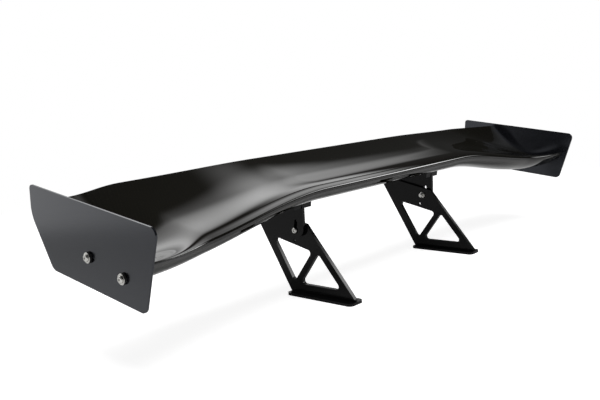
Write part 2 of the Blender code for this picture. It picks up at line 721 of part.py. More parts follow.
wing_frame = bpy.data.objects.new("wing_frame", None)
angle_pivot = bpy.data.objects.new("angle_pivot", None)
for empty in (wing_frame, angle_pivot):
    bpy.context.scene.collection.objects.link(empty)
plate_y = [point.x for point in endplate_outline()]
wing_frame.location.y = -(min(plate_y) + max(plate_y)) / 2
angle_pivot.parent = wing_frame
angle_pivot.location = PIVOT

aerofoil_skins = make_skins()
make_spars()
make_end_ribs()
make_endplates()
make_brackets(aerofoil_skins["lower_skin"])
make_pedestals()
make_pivot_hardware()
bpy.context.view_layer.update()
print("frame shift", wing_frame.location.y, "pivot", tuple(angle_pivot.matrix_world.translation))
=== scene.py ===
"""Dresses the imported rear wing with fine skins, plates and fasteners, finishes, a studio and a camera.

Everything is in metres in the part's own frame: X along the span, Y from the leading edge back to
the trailing edge, Z up from the underside of the base plates.
"""
import json
import math

import bmesh
import bpy
from mathutils import Matrix, Vector


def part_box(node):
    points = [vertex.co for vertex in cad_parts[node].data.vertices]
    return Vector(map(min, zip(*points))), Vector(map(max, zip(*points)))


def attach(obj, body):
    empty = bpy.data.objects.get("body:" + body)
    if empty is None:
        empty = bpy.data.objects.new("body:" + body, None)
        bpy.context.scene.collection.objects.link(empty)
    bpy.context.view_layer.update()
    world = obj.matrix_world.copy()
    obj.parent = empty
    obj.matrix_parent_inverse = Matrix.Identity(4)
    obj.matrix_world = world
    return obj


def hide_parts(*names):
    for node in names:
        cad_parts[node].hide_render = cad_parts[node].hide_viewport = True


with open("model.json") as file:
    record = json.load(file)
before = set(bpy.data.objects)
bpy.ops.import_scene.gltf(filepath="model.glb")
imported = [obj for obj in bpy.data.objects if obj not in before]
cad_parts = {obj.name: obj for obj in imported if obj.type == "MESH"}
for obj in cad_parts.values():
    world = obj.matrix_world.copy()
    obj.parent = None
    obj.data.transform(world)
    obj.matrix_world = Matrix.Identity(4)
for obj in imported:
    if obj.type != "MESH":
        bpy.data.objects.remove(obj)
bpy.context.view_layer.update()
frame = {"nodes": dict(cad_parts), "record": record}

bl_info = {
    "name": "Racing Rear Wing",
    "version": (1, 0, 0),
    "blender": (4, 5, 0),
    "location": "3D View > Sidebar > Rear Wing",
    "description": "Fine skins, plates, fasteners, finishes and a studio for an adjustable rear wing",
    "category": "Object",
}


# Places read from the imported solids

def middle_of(node):
    """Middle of a solid's box at rest."""
    low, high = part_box(node)
    return (Vector(low) + Vector(high)) / 2


def size_of(node):
    """Lengths of a solid's box at rest."""
    low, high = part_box(node)
    return Vector(high) - Vector(low)


HANDS = {"right": -1, "left": 1}
PLACES = ("front", "rear")
BASE_Y = middle_of("base_plate_left").y
PIVOT = Vector(middle_of("pivot_washer_left").yz)
LOCK = Vector(middle_of("lock_washer_left").yz)
PEDESTAL = middle_of("upright_left").x
UPRIGHT = size_of("upright_left").x
BASE = size_of("base_plate_left")
BRACKET = middle_of("bracket_left").x
FLANGE_WIDTH = size_of("bracket_left").x
PLATE = size_of("endplate_left").x
PLATE_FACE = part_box("endplate_left")[1][0]
AEROFOIL_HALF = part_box("upper_skin")[1][0]
PLATE_BOLTS = [Vector(middle_of("endplate_bolt_left_" + place).yz) for place in PLACES]

# Aerofoil sections: nose along Y from the bases' middle, height of the nose, chord, angle, and thickness
# and camber in chords
MIDDLE_SECTION = (-0.054, 0.2645, 0.256, math.radians(14.9), 0.203, 0.084)
OUTER_SECTION = (-0.083, 0.2145, 0.306, math.radians(20.7), 0.207, 0.1285)
TIP_SECTION = (-0.123, 0.2245, 0.271, math.radians(20.9), 0.140, 0.235)
MIDDLE_HALF = 0.300
TWIST_HALF = 0.785
TIP_RUN = 0.180
CAMBER_PEAK = 0.42
TRAILING_EDGE = 0.0030
SKIN = 0.0025
SEAM = 0.0004
CHORD_POINTS = 44
MIDDLE_STATIONS = 4
TWIST_STATIONS = 22
TIP_STATIONS = 22

# Endplate outline from its top front corner, along and square to its own top edge, with corner radii
PLATE_TILT = math.radians(8.1)
PLATE_CORNER = (-0.162, 0.289)
PLATE_OUTLINE = (
    (0.0, 0.0, 0.015),
    (0.4015, 0.0, 0.009),
    (0.3980, -0.060, 0.060),
    (0.3230, -0.154, 0.022),
    (0.030, -0.154, 0.015),
)

# Upright: its top corners stand at steps from the lock bolt and from the pivot; strips, band and strut round
# its windows; arc of the lock holes about the pivot
FOOT_INSET = 0.0007
FOOT_GAP = 0.0003
FRONT_TOP = (-0.028, 0.015)
REAR_TOP = (0.026, 0.017)
UPRIGHT_CORNER = 0.003
REAR_SHOULDER = 0.012
FOOT_STRIP = 0.021
FRONT_STRIP = 0.0175
REAR_STRIP = 0.022
TOP_BAND = 0.0595
STRUT = 0.0156
STRUT_TOP_SHIFT = 0.011
STRUT_FOOT_SHIFT = 0.0065
WINDOW_CORNER = 0.008
LOCK_RADIUS = (PIVOT - LOCK).length
LOCK_ANGLE = math.asin((PIVOT.y - LOCK.y) / LOCK_RADIUS)
LOCK_PITCH = math.radians(12.5)
ANGLE_TRAVEL = math.radians(10.0)
BOLT_HOLE = 0.0045

# Bracket: flange between two shares of the chord, and tongue whose corners stand at steps from the pivot and
# from the lock bolt, with their radii
SEAT = 0.0003
SCREW_SEAT = 3 * SEAT
FLANGE = 0.004
FLANGE_FRONT = 0.025
FLANGE_SHARES = (0.32, 0.68)
FLANGE_STEPS = 12
TONGUE = 0.008
TONGUE_SHARES = (0.325, 0.57)
TONGUE_STEPS = 8
TONGUE_AT_PIVOT = ((-0.034, 0.006, 0.012), (0.018, 0.015, 0.014), (0.018, -0.018, 0.014))
TONGUE_AT_LOCK = (-0.0265, -0.0195, 0.019)
SLOT_STEPS = 12
SCREW_OUT = 0.021
SCREW_SHARES = (0.40, 0.60)

# Base plate: its corners, and half the spacings across and along and the radius of its mounting holes
BASE_CORNER = 0.012
BASE_HOLES = (0.016, 0.082, 0.0033)

# Socket screws: radius of the shank, height of the head, half the socket's width; rounded share of a head
PLATE_BOLT = (0.003, 0.0034, 0.002)
PEDESTAL_BOLT = (0.004, 0.0044, 0.0025)
FLANGE_SCREW = (0.0025, 0.0028, 0.0015)
HEAD_DOME = 0.65
PLATE_HOLE = 0.0035
FLANGE_SCREW_LENGTH = 0.012
FLANGE_SCREW_HEAD = 0.0047
FLANGE_SCREW_SINK = 0.0052
FLANGE_SCREW_HOLE = 0.0030

# Locking nut, as shares of half its width across flats and of its height
NUT_OUTSIDE = ((0.96, 0.0), (1.0, 0.08), (1.0, 0.62), (0.96, 0.70), (0.86, 0.72), (0.84, 0.95), (0.78, 1.0))

# Countersunk foot screw and the hole for it in the base plate, as (radius, height) points
FOOT_SCREW_STEPS = {"front": -0.078, "middle": 0.0, "rear": 0.078}
FOOT_SOCKET = 0.0022
FOOT_SCREW = ((0.0, 0.0025), (FOOT_SOCKET, 0.0025), (FOOT_SOCKET, 0.0002), (0.0024, 0.0), (0.0053, 0.0),
              (0.0056, 0.0003), (0.003, 0.0029), (0.003, 0.0194), (0.0024, 0.02), (0.0, 0.02))
FOOT_SINK = ((0.0, -0.001), (0.0061, -0.001), (0.0061, SEAT), (0.0035, 0.0032), (0.0035, 0.01), (0.0, 0.01))

# Surroundings: brightness of the lit wall and place of its right edge, by height, in quarter turns; half
# the width of that edge; left edge; brightness of the dark rest; where white ends in reflections
WALL_RISE = ((0.0, 0.10), (0.10, 0.15), (0.16, 0.42), (0.22, 0.9), (0.30, 2.0), (0.34, 2.0), (0.42, 1.2),
             (0.50, 0.85), (0.56, 0.4), (0.65, 0.1))
WALL_RIGHT = ((0.10, 0.64), (0.17, 0.668), (0.235, 0.575), (0.278, 0.545), (0.315, 0.527), (0.42, 0.49),
              (0.50, 0.435), (0.60, 0.32))
EDGE_HALF = 0.045
WALL_LEFT = (math.radians(-60.0), math.radians(-35.0))
ROOM = 0.03
BACKDROP_TOP = (math.radians(-1.0), math.radians(1.0))

# Lamps: setting for the power, sides, place, and whether reflections alone show it; share of a side, at each
# end, over which a reflected lamp fades
LAMPS = {
    "overhead_soft_box": ("key", (3.0, 2.2), (-0.4, -0.6, 2.6), False),
    "nose_strip": ("strip", (1.25, 0.62), (0.085, -0.12, 0.65), True),
    "rear_card": ("rear", (0.95, 0.52), (0.25, 0.23, 0.65), True),
    "front_card": ("card", (1.25, 0.62), (0.775, -0.575, 0.65), True),
}
SOFT_EDGE = 0.35

# Floor, and camera with its place from the bases' middle
FLOOR_RADIUS = 2.2
FLOOR_DROP = 0.0002
FLOOR_GLOW = 0.75
CAMERA_PLACE = Vector((-1.4910, -1.0574, 0.4855))
CAMERA_HEADING = math.radians(47.46)
CAMERA_SLOPE = math.radians(-8.71)
CAMERA_ROLL = math.radians(-3.80)

# Fineness of round shapes
ROUND_STEPS = 36
CORNER_STEPS = 10


def linear(hex_value):
    """Linear colour of an sRGB hex value."""
    channels = [int(hex_value[i:i + 2], 16) / 255 for i in (1, 3, 5)]
    return [((c + 0.055) / 1.055) ** 2.4 if c > 0.04045 else c / 12.92 for c in channels]


class WingSizes(bpy.types.PropertyGroup):
    """Edges and weave of the dressed wing."""
    plate_edge: bpy.props.FloatProperty(
        name="Plate edge", description="Rounding of the endplates' edges", default=0.0007, unit="LENGTH")
    pedestal_edge: bpy.props.FloatProperty(
        name="Pedestal edge", description="Chamfer of the uprights, brackets and bases",
        default=0.0008, unit="LENGTH")
    tow_width: bpy.props.FloatProperty(
        name="Tow width", description="Width of one tow of the composite cloth under the lacquer",
        default=0.004, unit="LENGTH")


class WingColours(bpy.types.PropertyGroup):
    """Colours of the finishes."""
    lacquer: bpy.props.FloatVectorProperty(
        name="Lacquered composite", description="Black composite under clear lacquer",
        subtype="COLOR", size=3, default=linear("#14130f"))
    endplate: bpy.props.FloatVectorProperty(
        name="Endplates", description="Dark grey anodised sheet",
        subtype="COLOR", size=3, default=linear("#121317"))
    pedestal: bpy.props.FloatVectorProperty(
        name="Pedestals", description="Black anodised plate",
        subtype="COLOR", size=3, default=linear("#070708"))
    steel: bpy.props.FloatVectorProperty(
        name="Fasteners", description="Stainless steel",
        subtype="COLOR", size=3, default=linear("#e2e1dd"))
    rubber: bpy.props.FloatVectorProperty(
        name="Seals", description="Black rubber", subtype="COLOR", size=3, default=linear("#151515"))


class WingStudio(bpy.types.PropertyGroup):
    """Light and lens of the studio."""
    lens: bpy.props.FloatProperty(
        name="Lens", description="Focal length on a 36 mm sensor", default=42.10, min=1.0, unit="CAMERA")
    key: bpy.props.FloatProperty(
        name="Overhead light", description="Power of the overhead soft box", default=68.0, unit="POWER")
    strip: bpy.props.FloatProperty(
        name="Nose strip", description="Power of the strip that the nose reflects", default=6.4, unit="POWER")
    rear: bpy.props.FloatProperty(
        name="Rear card", description="Power of the card behind the strip", default=2.7, unit="POWER")
    card: bpy.props.FloatProperty(
        name="Front card", description="Power of the card that front edges reflect", default=27.0,
        unit="POWER")
    wall: bpy.props.FloatProperty(
        name="Surroundings", description="Brightness of the surroundings", default=1.0, min=0.0)


# Finishes

def node(tree, kind, settings=None, **links):
    """Adds a node, sets its options and inputs, and links its inputs to other nodes' outputs."""
    item = tree.nodes.new(kind)
    for key, value in (settings or {}).items():
        if isinstance(key, str) and hasattr(item, key):
            setattr(item, key, value)
        else:
            item.inputs[key].default_value = value
    for key, source in links.items():
        target = int(key[1:]) if key[0] == "i" and key[1:].isdigit() else key.replace("_", " ")
        tree.links.new(source, item.inputs[target])
    return item


def new_finish(name, colour, **settings):
    """Material with one Principled shader; returns the material, its tree, shader and coordinates."""
    material = bpy.data.materials.new(name)
    material.use_nodes = True
    tree = material.node_tree
    shader = tree.nodes["Principled BSDF"]
    shader.inputs["Base Color"].default_value = (*colour, 1.0)
    for key, value in settings.items():
        shader.inputs[key.replace("_", " ")].default_value = value
    place = node(tree, "ShaderNodeTexCoord").outputs["Object"]
    return material, tree, shader, place


def grained(name, colour, grain, change, rough, rough_change, bump, **settings):
    """Finish whose colour, roughness and bump vary with one noise, as wide as the grain."""
    material, tree, shader, place = new_finish(name, colour, **settings)
    noise = node(tree, "ShaderNodeTexNoise", {"Scale": 1.0 / grain, "Detail": 4.0}, Vector=place)
    mottle = noise.outputs["Fac"]
    shades = node(tree, "ShaderNodeMapRange", {"To Min": 1.0 - change, "To Max": 1.0 + change},
                  Value=mottle)
    tint = node(tree, "ShaderNodeMix", {"data_type": "RGBA", "blend_type": "MULTIPLY", 0: 1.0,
                                        6: (*colour, 1.0)}, i7=shades.outputs["Result"])
    tree.links.new(tint.outputs[2], shader.inputs["Base Color"])
    wear = node(tree, "ShaderNodeMapRange", {"To Min": rough - rough_change,
                                             "To Max": rough + rough_change}, Value=mottle)
    tree.links.new(wear.outputs["Result"], shader.inputs["Roughness"])
    relief = node(tree, "ShaderNodeBump", {"Strength": bump, "Distance": grain / 10}, Height=mottle)
    tree.links.new(relief.outputs["Normal"], shader.inputs["Normal"])
    return material


def lacquered_composite(colour, tow):
    """Black composite cloth under a thick clear coat: a mirror-like sheen over a faint dark weave."""
    material, tree, shader, place = new_finish(
        "lacquered_black_composite", colour, Specular_IOR_Level=0.0, Roughness=0.3, Coat_Weight=1.0,
        Coat_Roughness=0.03, Coat_IOR=1.52)
    weave = node(tree, "ShaderNodeTexChecker", {"Scale": 1.0 / tow}, Vector=place)
    for key, shade in (("Color1", 0.75), ("Color2", 1.25)):
        weave.inputs[key].default_value = (*[c * shade for c in colour], 1.0)
    tree.links.new(weave.outputs["Color"], shader.inputs["Base Color"])
    # Lacquer flows out into waves about 6 mm long and a few micrometres high
    wave = 0.006
    waves = node(tree, "ShaderNodeTexNoise", {"Scale": 1.0 / wave, "Detail": 1.0}, Vector=place)
    relief = node(tree, "ShaderNodeBump", {"Strength": 0.02, "Distance": 0.0002},
                  Height=waves.outputs["Fac"])
    tree.links.new(relief.outputs["Normal"], shader.inputs["Coat Normal"])
    return material


def make_finishes():
    """All finishes of the object, by the record's slot; grains are drawn coarse enough to show."""
    colours = bpy.context.scene.wing_colours
    return {
        "gloss_black_skin": lacquered_composite(colours.lacquer, bpy.context.scene.wing_sizes.tow_width),
        # Blasted sheet under a dyed oxide film, which shines as glass does and not as the metal under it:
        # even and satin, with a fine tooth
        "endplate_grey": grained(
            "satin_anodised_grey", colours.endplate, grain=0.0015, change=0.05, rough=0.18, rough_change=0.04,
            bump=0.04, IOR=1.65, Specular_Tint=(0.86, 0.90, 1.0, 1.0)),
        # Machined plate under a black dyed film: satin and very dark, with a soft sheen on its chamfers
        "anodised_black": grained(
            "satin_anodised_black", colours.pedestal, grain=0.0012, change=0.08, rough=0.22,
            rough_change=0.05, bump=0.05, Specular_IOR_Level=0.18),
        # Cold-headed stainless: bright, and faintly uneven
        "stainless_steel": grained(
            "bright_stainless", colours.steel, grain=0.0008, change=0.06, rough=0.32, rough_change=0.06,
            bump=0.05, Metallic=1.0),
        # Moulded rubber: matt and slightly mottled
        "seal_rubber": grained(
            "matt_black_rubber", colours.rubber, grain=0.0010, change=0.15, rough=0.72, rough_change=0.08,
            bump=0.2),
        # Cut laminate, not lacquered: dull and uneven
        "raw_composite": grained(
            "cut_laminate", linear("#2b2b2a"), grain=0.0020, change=0.2, rough=0.6, rough_change=0.1,
            bump=0.2),
        # Milled plate, left bare: pale, with a dull shine
        "bare_aluminium": grained(
            "milled_aluminium", linear("#b4b6b8"), grain=0.0010, change=0.05, rough=0.38, rough_change=0.08,
            bump=0.08, Metallic=1.0),
    }


FINISHES = {}


def finish_of(slot):
    """Finish for a slot; all are made on first use."""
    if not FINISHES:
        FINISHES.update(make_finishes())
    return FINISHES[slot]


# Making pieces

def add_piece(name, body, slot, rides, replaced, edge=0.0, sharp=35.0):
    """Finished mesh object that rides on a body and stands for solids."""
    bmesh.ops.remove_doubles(body, verts=body.verts, dist=1e-7)
    bmesh.ops.recalc_face_normals(body, faces=body.faces)
    mesh = bpy.data.meshes.new(name)
    body.to_mesh(mesh)
    body.free()
    mesh.shade_smooth()
    mesh.set_sharp_from_angle(angle=math.radians(sharp))
    mesh.materials.append(finish_of(slot))
    item = bpy.data.objects.new(name, mesh)
    bpy.context.scene.collection.objects.link(item)
    if edge:
        bevel = item.modifiers.new("edge", "BEVEL")
        bevel.width = edge
        bevel.segments = 2
        bevel.limit_method = "ANGLE"
        bevel.angle_limit = math.radians(sharp)
        bevel.harden_normals = True
    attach(item, rides)
    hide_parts(*replaced)
    return item


def add_loop(body, points):
    """Closed loop of edges through points."""
    verts = [body.verts.new(point) for point in points]
    return [body.edges.new((verts[i - 1], verts[i])) for i in range(len(verts))]


def loft(body, loops):
    """Closed skin bridged through loops of points, with a cap at each end."""
    rings = [add_loop(body, loop) for loop in loops]
    for near, far in zip(rings, rings[1:]):
        bmesh.ops.bridge_loops(body, edges=near + far)
    bmesh.ops.contextual_create(body, geom=rings[0])
    bmesh.ops.contextual_create(body, geom=rings[-1])


def plate(body, loops, to_point, depth):
    """Flat plate from an outline and its holes, made thick by the vector depth."""
    start = [add_loop(body, [to_point(*point) for point in loop]) for loop in loops]
    edges = [edge for ring in start for edge in ring]
    filled = bmesh.ops.triangle_fill(body, use_beauty=True, edges=edges, normal=depth)
    faces = [item for item in filled["geom"] if isinstance(item, bmesh.types.BMFace)]
    raised = bmesh.ops.extrude_face_region(body, geom=faces, use_keep_orig=True)
    verts = [item for item in raised["geom"] if isinstance(item, bmesh.types.BMVert)]
    bmesh.ops.translate(body, verts=verts, vec=depth)


def turned(body, profile, place, axis, flats=()):
    """Spins (radius, height) points about an axis at a place; radii in flats become hexagons."""
    points = [body.verts.new((radius, 0.0, height)) for radius, height in profile]
    pairs = list(zip(points, points[1:]))
    if profile[0][0] > 0.0:
        pairs.append((points[-1], points[0]))
    edges = [body.edges.new(pair) for pair in pairs]
    bmesh.ops.spin(body, geom=points + edges, axis=(0, 0, 1), cent=(0, 0, 0), steps=ROUND_STEPS,
                   angle=math.tau, use_merge=True)
    for vert in body.verts:
        for flat in flats:
            if abs(vert.co.xy.length - flat) < 1e-7:
                off = math.atan2(vert.co.y, vert.co.x) % math.radians(60) - math.radians(30)
                vert.co.xy *= 1.0 / math.cos(off)
                break
    turn = Vector((0.0, 0.0, 1.0)).rotation_difference(axis).to_matrix().to_4x4()
    bmesh.ops.transform(body, matrix=Matrix.Translation(place) @ turn, verts=body.verts)


def combined(body, others, operation):
    """Union or difference of a body with other bodies, by exact Booleans."""
    blanks = []
    for part in (body, *others):
        bmesh.ops.recalc_face_normals(part, faces=part.faces)
        mesh = bpy.data.meshes.new("blank")
        part.to_mesh(mesh)
        part.free()
        blanks.append(bpy.data.objects.new("blank", mesh))
        bpy.context.scene.collection.objects.link(blanks[-1])
    for tool in blanks[1:]:
        step = blanks[0].modifiers.new("step", "BOOLEAN")
        step.operation = operation
        step.object = tool
    result = bmesh.new()
    result.from_object(blanks[0], bpy.context.evaluated_depsgraph_get())
    for mesh in [blank.data for blank in blanks]:
        bpy.data.meshes.remove(mesh)
    return result


def rounded(corners):
    """Outline with each (a, b, radius) corner replaced by an arc."""
    outline = []
    for i, (a, b, radius) in enumerate(corners):
        corner = Vector((a, b))
        if radius == 0.0:
            outline.append(corner)
            continue
        back = (Vector(corners[i - 1][:2]) - corner).normalized()
        ahead = (Vector(corners[(i + 1) % len(corners)][:2]) - corner).normalized()
        half = back.angle(ahead) / 2
        middle = corner + (back + ahead).normalized() * radius / math.sin(half)
        start = corner + back * radius / math.tan(half) - middle
        sweep = start.angle_signed(corner + ahead * radius / math.tan(half) - middle)
        for step in range(CORNER_STEPS + 1):
            outline.append(middle + Matrix.Rotation(-sweep * step / CORNER_STEPS, 2) @ start)
    return outline


def circle(a, b, radius):
    """Outline of a round hole."""
    angles = [math.tau * i / ROUND_STEPS for i in range(ROUND_STEPS)]
    return [Vector((a + radius * math.cos(t), b + radius * math.sin(t))) for t in angles]


def offset_line(start, end, distance):
    """Line through two points, moved to its left by a distance."""
    along = (end - start).normalized()
    shift = Vector((-along.y, along.x)) * distance
    return start + shift, end + shift


def meet(line, other):
    """Point where two lines cross."""
    (p, q), (r, s) = line, other
    along, across = q - p, s - r
    return p + along * (r - p).cross(across) / along.cross(across)


def in_yz(x):
    """Puts an outline's two numbers at Y and Z, on the plane at x."""
    return lambda y, z: (x, y, z)


def spread(ends, steps):
    """Evenly spaced values from the first end to the last."""
    first, last = ends
    return [first + (last - first) * i / steps for i in range(steps + 1)]


# Aerofoil shape

def ease(value):
    """Smooth step from 0 to 1."""
    value = min(max(value, 0.0), 1.0)
    return value * value * (3.0 - 2.0 * value)


def section_at(x):
    """Nose Y and Z, chord, angle, thickness share and camber share at a span position."""
    twist = ease((abs(x) - MIDDLE_HALF) / (TWIST_HALF - MIDDLE_HALF))
    tip = ease((abs(x) - AEROFOIL_HALF + TIP_RUN) / TIP_RUN)
    return [(m + (o - m) * twist) * (1.0 - tip) + e * tip
            for m, o, e in zip(MIDDLE_SECTION, OUTER_SECTION, TIP_SECTION)]


def camber_line(share, camber):
    """Height of the camber line, in chords; the section is upside down, so it hangs low."""
    if share < CAMBER_PEAK:
        return -camber / CAMBER_PEAK ** 2 * (2 * CAMBER_PEAK * share - share ** 2)
    rear = 1.0 - CAMBER_PEAK
    return -camber / rear ** 2 * (1.0 - 2 * CAMBER_PEAK + 2 * CAMBER_PEAK * share - share ** 2)


def half_thickness(share, thickness, chord):
    """Half of the section's thickness in metres, by the four-digit series, with a blunt trailing edge."""
    series = 0.2969 * math.sqrt(share) - 0.1260 * share - 0.3516 * share ** 2
    series += 0.2843 * share ** 3 - 0.1036 * share ** 4
    return 5 * thickness * chord * series + share * TRAILING_EDGE / 2


def surface_point(x, share, side, depth):
    """Point at a depth under the upper (side 1) or lower (side -1) surface, short of the other skin."""
    nose_y, nose_z, chord, angle, thickness, camber = section_at(x)

    def outside(at):
        at = min(max(at, 0.0), 1.0)
        return camber_line(at, camber) * chord + side * half_thickness(at, thickness, chord)

    step = 0.002
    low, high = max(share - step, 0.0), min(share + step, 1.0)
    slope = Vector(((high - low) * chord, outside(high) - outside(low))).normalized()
    if share == 0.0:
        slope = Vector((0.0, side))
    along = share * chord + depth * slope.y * side
    height = outside(share) - depth * slope.x * side
    middle = camber_line(min(along / chord, 1.0), camber) * chord
    if (height - middle) * side < SEAM / 2:
        if depth > 0 and share > 0.0:
            along = share * chord
            middle = camber_line(share, camber) * chord
        height = middle + side * SEAM / 2
    y = BASE_Y + nose_y + along * math.cos(angle) - height * math.sin(angle)
    z = nose_z + along * math.sin(angle) + height * math.cos(angle)
    return Vector((x, y, z))


def surface_normal(x, share, side):
    """Unit vector out of the surface, square to the span."""
    step = 0.01
    run = surface_point(x, share + step, side, 0.0) - surface_point(x, share - step, side, 0.0)
    return Vector((0.0, -run.z * side, run.y * side)).normalized()


def stations():
    """Span positions of the fine sections from tip to tip."""
    twist_end = AEROFOIL_HALF - TIP_RUN
    half = [MIDDLE_HALF * i / MIDDLE_STATIONS for i in range(1, MIDDLE_STATIONS)]
    half += [MIDDLE_HALF + (twist_end - MIDDLE_HALF) * i / TWIST_STATIONS for i in range(TWIST_STATIONS)]
    half += [twist_end + TIP_RUN * i / TIP_STATIONS for i in range(TIP_STATIONS + 1)]
    return [-x for x in reversed(half)] + [0.0] + half


def lock_point(angle, radius=LOCK_RADIUS):
    """Point on the arc of lock holes, at an angle below the pivot's level."""
    return Vector((PIVOT.x - radius * math.cos(angle), PIVOT.y - radius * math.sin(angle)))


# Operators

class WING_OT_skins(bpy.types.Operator):
    """Upper and lower mouldings of the aerofoil, which meet at the nose and the trailing edge"""
    bl_idname = "wing.skins"
    bl_label = "Skins"

    def execute(self, context):
        shares = [(i / CHORD_POINTS) ** 2 for i in range(CHORD_POINTS + 1)]
        for name, side in (("upper", 1), ("lower", -1)):
            body = bmesh.new()
            loops = []
            for x in stations():
                outside = [surface_point(x, share, side, 0.0) for share in shares]
                inside = [surface_point(x, share, side, SKIN) for share in reversed(shares)]
                loops.append(outside + inside)
            loft(body, loops)
            add_piece(name + "_moulding", body, "gloss_black_skin", "wing", [name + "_skin"], sharp=50.0)
        return {"FINISHED"}


class WING_OT_endplates(bpy.types.Operator):
    """Flat endplates with rounded corners and broken edges"""
    bl_idname = "wing.endplates"
    bl_label = "Endplates"

    def execute(self, context):
        turn = Matrix.Rotation(PLATE_TILT, 2)
        start = Vector((BASE_Y + PLATE_CORNER[0], PLATE_CORNER[1]))
        outline = [start + turn @ point for point in rounded(PLATE_OUTLINE)]
        holes = [circle(*point, PLATE_HOLE) for point in PLATE_BOLTS]
        for hand, sign in HANDS.items():
            body = bmesh.new()
            plate(body, [outline] + holes, in_yz(sign * PLATE_FACE), Vector((-sign * PLATE, 0.0, 0.0)))
            add_piece("endplate_sheet_" + hand, body, "endplate_grey", "wing", ["endplate_" + hand],
                      edge=context.scene.wing_sizes.plate_edge)
        return {"FINISHED"}


def socket_screw(body, size, length, head, place, axis):
    """Screw with a hexagon socket; its place is under the head and its shank runs along the axis."""
    shank, height, socket = size
    arc = [math.radians(a) for a in range(0, 75, 15)]
    flat = max(head * 0.45, socket * 1.25)
    rim = [(flat + (head - flat) * math.cos(a), -height * (1 - HEAD_DOME + HEAD_DOME * math.sin(a)))
           for a in arc]
    chamfer = shank * 0.15
    profile = [(0.0, length), (shank - chamfer, length), (shank, length - chamfer), (shank, 0.0),
               (head * 0.97, 0.0), (head, -height * 0.1)]
    profile += rim + [(flat, -height), (socket * 1.12, -height), (socket, -height * 0.94),
                      (socket, -height * 0.3), (0.0, -height * 0.2)]
    turned(body, profile, place, axis, flats=(socket,))


def bolt_for(solid, sign, point, size):
    """Bolt as long and as wide as its solid, with its head on the outer side."""
    body = bmesh.new()
    box = size_of(solid)
    height = size[1]
    under_head = middle_of(solid).x + sign * (box.x / 2 - height)
    socket_screw(body, size, box.x - height, box.y / 2, Vector((under_head, *point)),
                 Vector((-sign, 0.0, 0.0)))
    return body


def washer_for(solid, sign, point, inner):
    """Stamped washer as thick and as wide as its solid, with softly rounded edges."""
    body = bmesh.new()
    box = size_of(solid)
    height, outer = box.x, box.y / 2
    edge = height * 0.25
    profile = [(inner, edge), (inner + edge, 0.0), (outer - edge, 0.0), (outer, edge),
               (outer, height - edge), (outer - edge, height), (inner + edge, height), (inner, height - edge)]
    outer_face = middle_of(solid).x + sign * height / 2
    turned(body, profile, Vector((outer_face, *point)), Vector((-sign, 0.0, 0.0)))
    return body


def nut_for(solid, sign, point):
    """Locking nut as tall and as wide across its flats as its solid."""
    body = bmesh.new()
    box = size_of(solid)
    tall, flat = box.x, box.z / 2
    profile = [(BOLT_HOLE, 0.0)] + [(flat * out, tall * up) for out, up in NUT_OUTSIDE] + [(BOLT_HOLE, tall)]
    turned(body, profile, Vector((middle_of(solid).x + sign * tall / 2, *point)), Vector((-sign, 0.0, 0.0)),
           flats=(flat,))
    return body


class WING_OT_plate_fasteners(bpy.types.Operator):
    """Bolts, steel washers and soft seals that hold the endplates"""
    bl_idname = "wing.plate_fasteners"
    bl_label = "Endplate fasteners"

    def execute(self, context):
        for hand, sign in HANDS.items():
            for place, point in zip(PLACES, PLATE_BOLTS):
                tag = f"{hand}_{place}"
                for job, slot in (("seal", "seal_rubber"), ("washer", "stainless_steel")):
                    solid = f"endplate_{job}_{tag}"
                    add_piece(f"plate_{job}_{tag}", washer_for(solid, sign, point, PLATE_HOLE), slot, "wing",
                              [solid])
                solid = "endplate_bolt_" + tag
                add_piece("plate_bolt_" + tag, bolt_for(solid, sign, point, PLATE_BOLT), "stainless_steel",
                          "wing", [solid])
        return {"FINISHED"}


def tongue_outline(x):
    """Tongue outline in Y and Z; its top edge runs inside the flange."""
    shares = spread(TONGUE_SHARES, TONGUE_STEPS)
    top = [surface_point(x, share, -1, -SEAT - FLANGE / 2).yz for share in shares]
    steps = [(PIVOT, corner) for corner in TONGUE_AT_PIVOT] + [(LOCK, TONGUE_AT_LOCK)]
    corners = [(bolt.x + y, bolt.y + z, radius) for bolt, (y, z, radius) in steps]
    return rounded([(*top[-1], 0.0), *corners, (*top[0], 0.0)]) + top[1:-1]


def slot_outline():
    """Curved slot about the pivot, from the lock bolt up to the end of the travel."""
    turns = spread((LOCK_ANGLE, LOCK_ANGLE - ANGLE_TRAVEL), SLOT_STEPS)
    outer = [lock_point(turn, LOCK_RADIUS + BOLT_HOLE) for turn in turns]
    inner = [lock_point(turn, LOCK_RADIUS - BOLT_HOLE) for turn in reversed(turns)]
    halves = [Matrix.Rotation(-math.pi * i / CORNER_STEPS, 2) for i in range(1, CORNER_STEPS)]
    high = lock_point(turns[-1])
    top = [high + half @ (outer[-1] - high) for half in halves]
    bottom = [LOCK + half @ (inner[-1] - LOCK) for half in halves]
    return outer + top + inner + bottom


